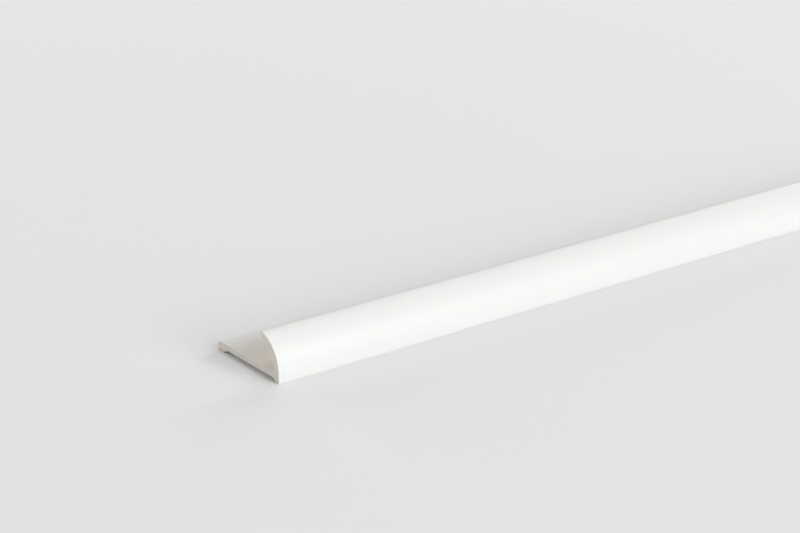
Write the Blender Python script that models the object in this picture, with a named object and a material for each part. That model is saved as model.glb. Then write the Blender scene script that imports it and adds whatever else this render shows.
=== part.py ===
# Quarter round PVC corner guard for a tiled edge, one extruded length of white stock.
# A curved shell stands over the tile's edge, a flat leg lies under the tile, and a row of
# holes in the leg lets the adhesive key through it. The guard lies on its foot and its toe.
# Metres, +Z up. X runs along the length and Y from the outer face to the tip of the leg.
# The origin is the middle of the footprint, on the surface that the guard lies on.

import math

import bmesh
import bpy
from mathutils import Matrix, Vector

# Stock length
LENGTH = 2.5

# Shell, the quarter round that shows
SHELL_RADIUS = 0.0083          # outside of the curve
SHELL_SWEEP = math.radians(80)  # from the upright outer face to the lip
SHELL_SPRING = 0.0026          # height at which the outer face begins to curve
SHELL_WALL = 0.0017
LIP_ROUND = 0.0005             # outer corner of the lip
LIP_UNDER_ROUND = 0.0009       # inner corner of the lip
ROOT_FILLET = 0.0008           # between the shell and the top of the leg

# Leg, under the tile
LEG_WIDTH = 0.0255             # outer face to tip
LEG_THICKNESS = 0.0015
NOSE_RADIUS = 0.0015           # rounds the tip above

# Foot under the shell and toe under the tip, which hold the leg off the bed
FOOT_HEIGHT = 0.00085
FOOT_FILLET = 0.00055
TOE_ROUND = 0.0005             # rounds the tip below
TOE_WIDTH = 0.0025
TOE_RAMP = 0.0018
RAMP_FILLET = 0.002
EDGE_ROUND = 0.0001            # bottom corners of the foot and heel of the toe

# Keying holes
HOLE_DIAMETER = 0.007
HOLE_PITCH = 0.025
HOLE_ROW = 0.0145              # outer face to the middle of the row
HOLE_SIDES = 20

# Fineness of the curves, the most that a chord may stand off its arc
CHORD_ERROR = 0.00001

# Finish
PVC_COLOUR = (0.86, 0.86, 0.845, 1.0)
PVC_ROUGHNESS = 0.34

LEG_TOP = FOOT_HEIGHT + LEG_THICKNESS
QUARTER = math.radians(90)
HALF = math.radians(180)


def clear_scene():
    for item in list(bpy.data.objects):
        bpy.data.objects.remove(item, do_unlink=True)


def polar(centre, radius, angle):
    return centre + radius * Vector((math.cos(angle), math.sin(angle)))


def arc(centre, radius, start, end):
    """Points of an arc, both ends included, as fine as its radius needs."""
    step = 2 * math.acos(1 - CHORD_ERROR / radius)
    count = max(2, math.ceil(abs(end - start) / step))
    return [polar(centre, radius, start + (end - start) * i / count) for i in range(count + 1)]


def rounded(before, corner, after, radius):
    """The corner between two straight runs, replaced by an arc that touches both."""
    back = (before - corner).normalized()
    ahead = (after - corner).normalized()
    opening = back.angle(ahead)
    centre = corner + (back + ahead).normalized() * radius / math.sin(opening / 2)
    reach = radius / math.tan(opening / 2)
    first = corner + back * reach - centre
    last = corner + ahead * reach - centre
    start = math.atan2(first.y, first.x)
    turn = math.atan2(last.y, last.x) - start
    turn = (turn + HALF) % (2 * HALF) - HALF
    return arc(centre, radius, start, start + turn)


def shell_outline():
    """Up the outer face, over the curve, round the lip and back inside to the leg's top."""
    centre = Vector((SHELL_RADIUS, SHELL_SPRING))
    inner = SHELL_RADIUS - SHELL_WALL
    lip = HALF - SHELL_SWEEP
    outer_corner = lip + math.asin(LIP_ROUND / (SHELL_RADIUS - LIP_ROUND))
    inner_corner = lip + math.asin(LIP_UNDER_ROUND / (inner + LIP_UNDER_ROUND))
    root_height = LEG_TOP + ROOT_FILLET - SHELL_SPRING
    root = HALF - math.asin(root_height / (inner - ROOT_FILLET))

    points = arc(centre, SHELL_RADIUS, HALF, outer_corner)
    outer_round = polar(centre, SHELL_RADIUS - LIP_ROUND, outer_corner)
    points += arc(outer_round, LIP_ROUND, outer_corner, lip - QUARTER)[1:]
    inner_round = polar(centre, inner + LIP_UNDER_ROUND, inner_corner)
    points += arc(inner_round, LIP_UNDER_ROUND, lip - QUARTER, inner_corner - HALF)
    points += arc(centre, inner, inner_corner, root)[1:]
    points += arc(polar(centre, inner - ROOT_FILLET, root), ROOT_FILLET, root, HALF + QUARTER)[1:]
    return points


def leg_outline():
    """Over the nose, along the toe, under the leg and round the foot to the outer face."""
    nose = Vector((LEG_WIDTH - NOSE_RADIUS, LEG_TOP - NOSE_RADIUS))
    tip = Vector((LEG_WIDTH, 0))
    heel = Vector((LEG_WIDTH - TOE_WIDTH, 0))
    ramp_top = Vector((heel.x - TOE_RAMP, FOOT_HEIGHT))
    foot_top = Vector((SHELL_WALL, FOOT_HEIGHT))
    foot_inside = Vector((SHELL_WALL, 0))
    foot_outside = Vector((0, 0))
    face_top = Vector((0, LEG_TOP))

    points = arc(nose, NOSE_RADIUS, QUARTER, 0)
    points += rounded(points[-1], tip, heel, TOE_ROUND)
    points += rounded(tip, heel, ramp_top, EDGE_ROUND)
    points += rounded(heel, ramp_top, foot_top, RAMP_FILLET)
    points += rounded(ramp_top, foot_top, foot_inside, FOOT_FILLET)
    points += rounded(foot_top, foot_inside, foot_outside, EDGE_ROUND)
    points += rounded(foot_inside, foot_outside, face_top, EDGE_ROUND)
    return points


def hole_places():
    """Middles of the holes along X, spread evenly with equal margins at both ends."""
    count = max(1, int(LENGTH / HOLE_PITCH + 0.001))
    first = -HOLE_PITCH * (count - 1) / 2
    return [first + HOLE_PITCH * i for i in range(count)]


def split_leg(bar, places):
    """Cut the leg's two broad faces midway between holes, one panel for each hole."""
    for left, right in zip(places, places[1:]):
        panels = [face for face in bar.faces if is_leg_face(face)]
        edges = {edge for face in panels for edge in face.edges}
        verts = {vert for face in panels for vert in face.verts}
        bmesh.ops.bisect_plane(
            bar,
            geom=panels + list(edges) + list(verts),
            plane_co=((left + right) / 2, 0, 0),
            plane_no=(1, 0, 0),
        )


def is_leg_face(face):
    middle = face.calc_center_median().z
    upper = face.normal.z > 0.999 and abs(middle - LEG_TOP) < CHORD_ERROR
    lower = face.normal.z < -0.999 and abs(middle - FOOT_HEIGHT) < CHORD_ERROR
    return upper or lower


def make_bar(places):
    """The plain extrusion, with its footprint centred on the origin."""
    bar = bmesh.new()
    outline = shell_outline() + leg_outline()
    near = [bar.verts.new((-LENGTH / 2, p.x - LEG_WIDTH / 2, p.y)) for p in outline]
    end = bar.faces.new(near)
    grown = bmesh.ops.extrude_face_region(bar, geom=[end])["geom"]
    far = [item for item in grown if isinstance(item, bmesh.types.BMVert)]
    bmesh.ops.translate(bar, vec=(LENGTH, 0, 0), verts=far)
    bmesh.ops.recalc_face_normals(bar, faces=bar.faces)
    split_leg(bar, places)
    return finish_mesh(bar, "corner_guard")


def make_punch(places):
    """One pin through the leg for each keying hole."""
    punch = bmesh.new()
    for x in places:
        seat = Matrix.Translation((x, HOLE_ROW - LEG_WIDTH / 2, FOOT_HEIGHT + LEG_THICKNESS / 2))
        bmesh.ops.create_cone(
            punch,
            cap_ends=True,
            segments=HOLE_SIDES,
            radius1=HOLE_DIAMETER / 2,
            radius2=HOLE_DIAMETER / 2,
            depth=3 * LEG_THICKNESS,
            matrix=seat,
        )
    return finish_mesh(punch, "hole_punch")


def finish_mesh(form, name):
    mesh = bpy.data.meshes.new(name)
    form.to_mesh(mesh)
    form.free()
    item = bpy.data.objects.new(name, mesh)
    bpy.context.collection.objects.link(item)
    return item


def punch_holes(bar, punch):
    """Take the holes out of the leg and keep the result as the bar's own mesh."""
    cut = bar.modifiers.new("keying_holes", "BOOLEAN")
    cut.operation = "DIFFERENCE"
    cut.object = punch
    bpy.context.view_layer.update()
    shaped = bar.evaluated_get(bpy.context.evaluated_depsgraph_get())
    plain = bar.data
    bar.data = bpy.data.meshes.new_from_object(shaped)
    bar.modifiers.clear()
    bpy.data.meshes.remove(plain)
    bpy.data.objects.remove(punch, do_unlink=True)


def pvc_material():
    material = bpy.data.materials.new("white_pvc")
    material.use_nodes = True
    shader = material.node_tree.nodes["Principled BSDF"]
    shader.inputs["Base Color"].default_value = PVC_COLOUR
    shader.inputs["Roughness"].default_value = PVC_ROUGHNESS
    shader.inputs["Metallic"].default_value = 0.0
    return material


def main():
    clear_scene()
    places = hole_places()
    guard = make_bar(places)
    punch_holes(guard, make_punch(places))
    guard.data.name = guard.name
    guard.data.shade_smooth()
    guard.data.set_sharp_from_angle(angle=math.radians(30))
    guard.data.materials.clear()
    guard.data.materials.append(pvc_material())


main()
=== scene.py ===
# White quarter round PVC corner guard, lying on a pale floor in soft studio light.
import math

import bpy
from mathutils import Matrix, Vector


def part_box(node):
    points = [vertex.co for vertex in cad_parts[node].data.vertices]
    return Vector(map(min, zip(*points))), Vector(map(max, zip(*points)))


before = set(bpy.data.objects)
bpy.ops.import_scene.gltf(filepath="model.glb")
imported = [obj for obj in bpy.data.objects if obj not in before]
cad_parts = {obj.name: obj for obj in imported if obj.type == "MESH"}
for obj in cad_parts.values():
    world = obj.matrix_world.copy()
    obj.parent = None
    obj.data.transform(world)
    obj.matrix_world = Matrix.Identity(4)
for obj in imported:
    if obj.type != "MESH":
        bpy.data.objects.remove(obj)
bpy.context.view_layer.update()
print("frame loaded")


# camera, set from the photograph's two vanishing points
camera = {
    "imageWidth": 800,
    "imageHeight": 533,
    "focalPixels": 1897,
    "lookDown": math.radians(20.69),
    "turn": math.radians(52.88),      # between the view and the guard's length
    "nearCorner": (279.1, 384.8),     # pixel of the near end's outer bottom corner
    "nearDistance": 0.4204,           # from the camera to that corner, along the view
    "sensorWidth": 36.0,
    "clip": (0.01, 100.0),            # nearest and furthest that it sees
}


def placeCamera(spec, corner):
    sinTurn, cosTurn = math.sin(spec["turn"]), math.cos(spec["turn"])
    sinDown, cosDown = math.sin(spec["lookDown"]), math.cos(spec["lookDown"])
    right = Vector((sinTurn, -cosTurn, 0))
    forward = Vector((cosTurn * cosDown, sinTurn * cosDown, -sinDown))
    up = right.cross(forward)
    column, row = spec["nearCorner"]
    across = (column - spec["imageWidth"] / 2) / spec["focalPixels"]
    above = (spec["imageHeight"] / 2 - row) / spec["focalPixels"]
    ray = forward + right * across + up * above
    place = corner - ray * spec["nearDistance"]
    data = bpy.data.cameras.new("studioCamera")
    data.sensor_width = spec["sensorWidth"]
    data.lens = spec["focalPixels"] * spec["sensorWidth"] / spec["imageWidth"]
    data.clip_start, data.clip_end = spec["clip"]
    eye = bpy.data.objects.new("studioCamera", data)
    bpy.context.scene.collection.objects.link(eye)
    turned = Matrix((right, up, -forward)).transposed().to_4x4()
    eye.matrix_world = Matrix.Translation(place) @ turned
    bpy.context.scene.camera = eye


nearFoot = Vector(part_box("corner_guard")[0])
placeCamera(camera, nearFoot)
print("camera placed")


# studio light, wide and even along the guard's whole length
light = {
    "lamps": {                        # degrees: azimuth, elevation, width, then strength
        "keyLight": (280, 21, 30, 2.30),
        "frontFill": (300, 40, 30, 0.26),
        "rightFill": (20, 12, 30, 1.62),
        "backFill": (100, 12, 30, 0.70),
        "leftFill": (150, 40, 30, 0.79),
        "topFill": (0, 74, 32, 0.70),
    },
    "glowStrength": 0.045,
    "backdropTone": 0.8,              # what the camera sees past the floor
    "reflectedShare": 0.3,            # how much of it shows in reflections
}


def makeLight(spec):
    for name, (azimuth, elevation, width, strength) in spec["lamps"].items():
        data = bpy.data.lights.new(name, "SUN")
        data.energy = strength
        data.angle = math.radians(width)
        lamp = bpy.data.objects.new(name, data)
        bpy.context.scene.collection.objects.link(lamp)
        lamp.rotation_euler = (math.radians(90 - elevation), 0, math.radians(90 + azimuth))
    world = bpy.data.worlds.new("studio")
    world.use_nodes = True
    bpy.context.scene.world = world
    nodes, links = world.node_tree.nodes, world.node_tree.links
    rays = nodes.new("ShaderNodeLightPath")
    clear = nodes.new("ShaderNodeMath")
    clear.operation = "MAXIMUM"
    links.new(rays.outputs["Is Camera Ray"], clear.inputs[0])
    links.new(rays.outputs["Is Transmission Ray"], clear.inputs[1])
    seen = nodes.new("ShaderNodeMath")
    seen.operation = "MULTIPLY_ADD"
    links.new(rays.outputs["Is Glossy Ray"], seen.inputs[0])
    seen.inputs[1].default_value = spec["reflectedShare"]
    links.new(clear.outputs["Value"], seen.inputs[2])
    level = nodes.new("ShaderNodeMapRange")
    level.inputs["To Min"].default_value = spec["glowStrength"]
    level.inputs["To Max"].default_value = spec["backdropTone"]
    links.new(seen.outputs["Value"], level.inputs["Value"])
    nodes["Background"].inputs["Color"].default_value = (1, 1, 1, 1)
    links.new(level.outputs["Result"], nodes["Background"].inputs["Strength"])


makeLight(light)
bpy.context.scene.view_settings.view_transform = "Standard"
print("light set")


# small helpers that all node trees share
def newMaterial(name):
    material = bpy.data.materials.new(name)
    material.use_nodes = True
    return material, material.node_tree, material.node_tree.nodes["Principled BSDF"]


def feed(tree, socket, value):
    if isinstance(value, bpy.types.NodeSocket):
        tree.links.new(value, socket)
    else:
        socket.default_value = value


def maths(tree, operation, first, second=0.0):
    node = tree.nodes.new("ShaderNodeMath")
    node.operation = operation
    feed(tree, node.inputs[0], first)
    feed(tree, node.inputs[1], second)
    return node.outputs["Value"]


def softStep(tree, value, low, high, toLow=0.0, toHigh=1.0):
    node = tree.nodes.new("ShaderNodeMapRange")
    node.interpolation_type = "SMOOTHSTEP"
    feed(tree, node.inputs["Value"], value)
    node.inputs["From Min"].default_value = low
    node.inputs["From Max"].default_value = high
    node.inputs["To Min"].default_value = toLow
    node.inputs["To Max"].default_value = toHigh
    return node.outputs["Result"]


def blendColour(tree, mask, first, second):
    node = tree.nodes.new("ShaderNodeMix")
    node.data_type = "RGBA"
    feed(tree, node.inputs["Factor"], mask)
    feed(tree, node.inputs["A"], first)
    feed(tree, node.inputs["B"], second)
    return node.outputs["Result"]


def tinted(tree, colour, tone):
    node = tree.nodes.new("ShaderNodeVectorMath")
    node.operation = "SCALE"
    feed(tree, node.inputs["Vector"], colour)
    feed(tree, node.inputs["Scale"], tone)
    return node.outputs["Vector"]


def reachOf(tree, across, above):
    squares = [maths(tree, "POWER", side, 2.0) for side in (across, above)]
    return maths(tree, "SQRT", maths(tree, "ADD", *squares))


def partsOf(tree):
    place = tree.nodes.new("ShaderNodeTexCoord").outputs["Object"]
    split = tree.nodes.new("ShaderNodeSeparateXYZ")
    tree.links.new(place, split.inputs["Vector"])
    return place, split.outputs["X"], split.outputs["Y"], split.outputs["Z"]


def bumped(tree, height, reach, normal=None):
    node = tree.nodes.new("ShaderNodeBump")
    node.inputs["Distance"].default_value = reach
    feed(tree, node.inputs["Height"], height)
    if normal is not None:
        tree.links.new(normal, node.inputs["Normal"])
    return node.outputs["Normal"]


# fine grain, for the floor and for the plastic: a tone about 1 and a height
def makeGrainGroup():
    tree = bpy.data.node_groups.new("fineGrain", "ShaderNodeTree")
    for name, kind, value in (
        ("Scale", "NodeSocketFloat", 100.0),
        ("Stretch", "NodeSocketVector", (1.0, 1.0, 1.0)),
        ("Detail", "NodeSocketFloat", 2.0),
        ("Amount", "NodeSocketFloat", 0.01),
    ):
        tree.interface.new_socket(name, in_out="INPUT", socket_type=kind).default_value = value
    for name in ("Tone", "Height"):
        tree.interface.new_socket(name, in_out="OUTPUT", socket_type="NodeSocketFloat")
    given = tree.nodes.new("NodeGroupInput")
    result = tree.nodes.new("NodeGroupOutput")
    place = partsOf(tree)[0]
    stretched = tree.nodes.new("ShaderNodeVectorMath")
    stretched.operation = "MULTIPLY"
    tree.links.new(place, stretched.inputs[0])
    tree.links.new(given.outputs["Stretch"], stretched.inputs[1])
    noise = tree.nodes.new("ShaderNodeTexNoise")
    tree.links.new(stretched.outputs["Vector"], noise.inputs["Vector"])
    tree.links.new(given.outputs["Scale"], noise.inputs["Scale"])
    tree.links.new(given.outputs["Detail"], noise.inputs["Detail"])
    centred = maths(tree, "SUBTRACT", noise.outputs["Fac"], 0.5)
    swing = maths(tree, "MULTIPLY", centred, given.outputs["Amount"])
    tree.links.new(maths(tree, "ADD", swing, 1.0), result.inputs["Tone"])
    tree.links.new(noise.outputs["Fac"], result.inputs["Height"])
    return tree


grainGroup = makeGrainGroup()


def grain(tree, scale, amount, stretch=(1, 1, 1), detail=2.0):
    node = tree.nodes.new("ShaderNodeGroup")
    node.node_tree = grainGroup
    node.inputs["Scale"].default_value = scale
    node.inputs["Stretch"].default_value = stretch
    node.inputs["Detail"].default_value = detail
    node.inputs["Amount"].default_value = amount
    return node.outputs["Tone"], node.outputs["Height"]


# floor, plain pale paper, with a painted shade about the guard's near end
floor = {
    "size": 80.0,
    "colour": (0.892, 0.892, 0.892),
    "roughness": 0.9,
    "shine": 0.2,
    "shade": (-1.333, 0.036, 0.6, -0.045),     # painted shade: middle along x and y, radius, swing in tone
    "fibre": (1400.0, 0.012, 3.0),    # noise scale, swing in tone, detail
    "fibreHeight": 0.00002,
}


def makeFloor(spec):
    half = spec["size"] / 2
    mesh = bpy.data.meshes.new("floor")
    corners = [(-half, -half, 0), (half, -half, 0), (half, half, 0), (-half, half, 0)]
    mesh.from_pydata(corners, [], [(0, 1, 2, 3)])
    item = bpy.data.objects.new("floor", mesh)
    bpy.context.scene.collection.objects.link(item)
    material, tree, shader = newMaterial("floorPaper")
    place = partsOf(tree)[0]
    fibreScale, fibreSwing, fibreDetail = spec["fibre"]
    fibre, fibreHeight = grain(tree, fibreScale, fibreSwing, detail=fibreDetail)
    middleX, middleY, radius, swing = spec["shade"]
    away = tree.nodes.new("ShaderNodeVectorMath")
    away.operation = "DISTANCE"
    tree.links.new(place, away.inputs[0])
    away.inputs[1].default_value = (middleX, middleY, 0)
    # painted shade, darkest at its middle beside the near end
    shade = softStep(tree, away.outputs["Value"], 0, radius, swing, 0)
    tone = maths(tree, "ADD", fibre, shade)
    tree.links.new(tinted(tree, spec["colour"], tone), shader.inputs["Base Color"])
    tree.links.new(bumped(tree, fibreHeight, spec["fibreHeight"]), shader.inputs["Normal"])
    shader.inputs["Roughness"].default_value = spec["roughness"]
    shader.inputs["Specular IOR Level"].default_value = spec["shine"]
    mesh.materials.append(material)


makeFloor(floor)
print("floor laid")


# white pvc: a satin show face and matt saw cut ends, with painted shade and light: a darker,
# creamier inside, creamier ends, and a leg paler towards its tip
pvc = {
    "showColour": (0.825, 0.828, 0.819, 1),
    # painted shade: the inside darker and creamier than the show face
    "paintedShadeInside": (0.775, 0.735, 0.668, 1),
    # painted light: the leg paler towards its tip
    "paintedLightLeg": (0.87, 0.855, 0.82, 1),
    "paintedLightFrom": (-0.001, 0.012),       # along y, where the painted shade of the inside gives way to the painted light of the leg
    # painted warm shade: the cream tint of the matt saw cut ends
    "paintedShadeEnds": (0.85, 0.808, 0.742, 1),
    "punchColour": (0.87, 0.85, 0.81, 1),
    "showRoughness": 0.42,
    "insideRoughness": 0.45,
    "endRoughness": 0.6,
    "punchRoughness": 0.58,
    "glowShare": 1.0,                 # how much of the light goes under the surface
    "glowDepth": 0.0003,              # and how far it spreads there
    "glowSpread": (1.0, 0.88, 0.75),
    "curveCentre": (-0.00445, 0.0026),         # y and z of the middle of the shell's curve
    "showFrom": (0.0080, 0.00825),    # from the curve's middle, where the show face's skin begins
    "lipFrom": (0.0091, 0.0095),      # height above which the skin also wraps the lip
    "endFacing": (0.9, 0.98),         # how squarely a face looks along the length
    "mottle": (28.0, 0.016, 4.0),     # noise scale, swing in tone, detail
    "dieLines": (1.0, 0.16, 3.0),     # noise scale, swing in roughness, detail
    "dieStretch": (1.5, 2600.0, 2600.0),
    "dieDepth": 0.000014,
    "skinRipple": (420.0, 0.0000022),  # noise scale, depth
    "holePitch": 0.025,
    "holeRow": 0.00175,               # y of the row of holes
    "holeRim": (0.0035, 0.0041),      # edge of the hole, end of the whitened rim
    "rimBelow": 0.0024,               # height of the leg's top, where the rims stop
    "sawCentre": (0.09, 0.14),        # y and z of the saw's middle
    "sawSpacing": 0.00042,
    "sawWander": (160.0, 3.0),        # noise scale, swing in turns of a mark
    "sawDepth": 0.000006,
    "sawTone": 0.02,
    "mergeWithin": 1e-6,
    "sharpAbove": math.radians(30),
}


def showMask(tree, spec, y, z):
    centreY, centreZ = spec["curveCentre"]
    across = maths(tree, "MINIMUM", maths(tree, "SUBTRACT", y, centreY), 0.0)
    above = maths(tree, "MAXIMUM", maths(tree, "SUBTRACT", z, centreZ), 0.0)
    curved = softStep(tree, reachOf(tree, across, above), *spec["showFrom"])
    lip = softStep(tree, z, *spec["lipFrom"])
    return maths(tree, "MAXIMUM", curved, lip)


def endMask(tree, spec):
    facing = tree.nodes.new("ShaderNodeTexCoord").outputs["Normal"]
    split = tree.nodes.new("ShaderNodeSeparateXYZ")
    tree.links.new(facing, split.inputs["Vector"])
    return softStep(tree, maths(tree, "ABSOLUTE", split.outputs["X"]), *spec["endFacing"])


def punchMask(tree, spec, x, y, z):
    fromMiddle = maths(tree, "PINGPONG", x, spec["holePitch"] / 2)   # 0 between two holes
    alongHole = maths(tree, "SUBTRACT", fromMiddle, spec["holePitch"] / 2)
    acrossHole = maths(tree, "SUBTRACT", y, spec["holeRow"])
    ring = softStep(tree, reachOf(tree, alongHole, acrossHole), *spec["holeRim"], 1, 0)
    return maths(tree, "MULTIPLY", ring, maths(tree, "LESS_THAN", z, spec["rimBelow"]))


def sawMarks(tree, spec, y, z):
    centreY, centreZ = spec["sawCentre"]
    across = maths(tree, "SUBTRACT", y, centreY)
    above = maths(tree, "SUBTRACT", z, centreZ)
    turns = maths(tree, "MULTIPLY", reachOf(tree, across, above), 2 * math.pi / spec["sawSpacing"])
    wanderScale, wanderSwing = spec["sawWander"]
    wander = maths(tree, "MULTIPLY", grain(tree, wanderScale, 1.0)[1], wanderSwing)
    wave = maths(tree, "SINE", maths(tree, "ADD", turns, wander))
    return maths(tree, "ADD", maths(tree, "MULTIPLY", wave, 0.5), 0.5)


def makePvc(spec):
    material, tree, shader = newMaterial("whitePvc")
    x, y, z = partsOf(tree)[1:]
    show, ends = showMask(tree, spec, y, z), endMask(tree, spec)
    punched = punchMask(tree, spec, x, y, z)
    saw = sawMarks(tree, spec, y, z)
    mottleScale, mottleSwing, mottleDetail = spec["mottle"]
    mottle = grain(tree, mottleScale, mottleSwing, detail=mottleDetail)[0]
    lineScale, lineSwing, lineDetail = spec["dieLines"]
    lineTone, lineHeight = grain(tree, lineScale, lineSwing, spec["dieStretch"], lineDetail)
    rippleScale, rippleDepth = spec["skinRipple"]
    ripple = grain(tree, rippleScale, 1.0)[1]

    # painted shade and light: darker and creamier at the leg's root in the hollow, paler towards
    # its tip
    paintedLight = softStep(tree, y, *spec["paintedLightFrom"])
    colour = blendColour(tree, paintedLight, spec["paintedShadeInside"], spec["paintedLightLeg"])
    colour = blendColour(tree, show, colour, spec["showColour"])
    colour = blendColour(tree, punched, colour, spec["punchColour"])
    # the cut ends take a cream tint of painted warm shade
    colour = blendColour(tree, ends, colour, spec["paintedShadeEnds"])
    sawTone = maths(tree, "MULTIPLY", maths(tree, "MULTIPLY", saw, ends), spec["sawTone"])
    tone = maths(tree, "SUBTRACT", mottle, sawTone)
    tree.links.new(tinted(tree, colour, tone), shader.inputs["Base Color"])

    rough = softStep(tree, show, 0, 1, spec["insideRoughness"], spec["showRoughness"])
    rough = maths(tree, "MULTIPLY", rough, lineTone)
    for mask, level in ((punched, spec["punchRoughness"]), (ends, spec["endRoughness"])):
        step = maths(tree, "MULTIPLY", maths(tree, "SUBTRACT", level, rough), mask)
        rough = maths(tree, "ADD", rough, step)
    tree.links.new(rough, shader.inputs["Roughness"])

    away = maths(tree, "SUBTRACT", 1.0, ends)                          # off the cut ends
    normal = bumped(tree, maths(tree, "MULTIPLY", lineHeight, away), spec["dieDepth"])
    normal = bumped(tree, ripple, rippleDepth, normal)
    normal = bumped(tree, maths(tree, "MULTIPLY", saw, ends), spec["sawDepth"], normal)
    tree.links.new(normal, shader.inputs["Normal"])

    shader.inputs["Subsurface Weight"].default_value = spec["glowShare"]
    shader.inputs["Subsurface Radius"].default_value = spec["glowSpread"]
    shader.inputs["Subsurface Scale"].default_value = spec["glowDepth"]
    return material


def smoothCurves(item, spec):
    tree = bpy.data.node_groups.new("smoothCurves", "GeometryNodeTree")
    tree.interface.new_socket("Geometry", in_out="INPUT", socket_type="NodeSocketGeometry")
    tree.interface.new_socket("Geometry", in_out="OUTPUT", socket_type="NodeSocketGeometry")
    nodes, links = tree.nodes, tree.links
    source = nodes.new("NodeGroupInput")
    result = nodes.new("NodeGroupOutput")
    merge = nodes.new("GeometryNodeMergeByDistance")
    merge.inputs["Distance"].default_value = spec["mergeWithin"]
    bend = nodes.new("GeometryNodeInputMeshEdgeAngle")
    isSharp = nodes.new("FunctionNodeCompare")
    isSharp.operation = "GREATER_THAN"
    isSharp.inputs["B"].default_value = spec["sharpAbove"]
    faces = nodes.new("GeometryNodeSetShadeSmooth")
    faces.domain = "FACE"
    edges = nodes.new("GeometryNodeSetShadeSmooth")
    edges.domain = "EDGE"
    edges.inputs["Shade Smooth"].default_value = False
    clean = nodes.new("GeometryNodeRemoveAttribute")   # the loaded normals
    clean.inputs["Name"].default_value = "custom_normal"
    links.new(source.outputs[0], clean.inputs["Geometry"])
    links.new(clean.outputs["Geometry"], merge.inputs["Geometry"])
    links.new(merge.outputs["Geometry"], faces.inputs["Geometry"])
    links.new(faces.outputs["Geometry"], edges.inputs["Geometry"])
    links.new(bend.outputs["Unsigned Angle"], isSharp.inputs["A"])
    links.new(isSharp.outputs["Result"], edges.inputs["Selection"])
    links.new(edges.outputs["Geometry"], result.inputs[0])
    item.modifiers.new("smoothCurves", "NODES").node_group = tree


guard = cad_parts["corner_guard"]
guard.data.materials.clear()
guard.data.materials.append(makePvc(pvc))
smoothCurves(guard, pvc)
print("guard finished")
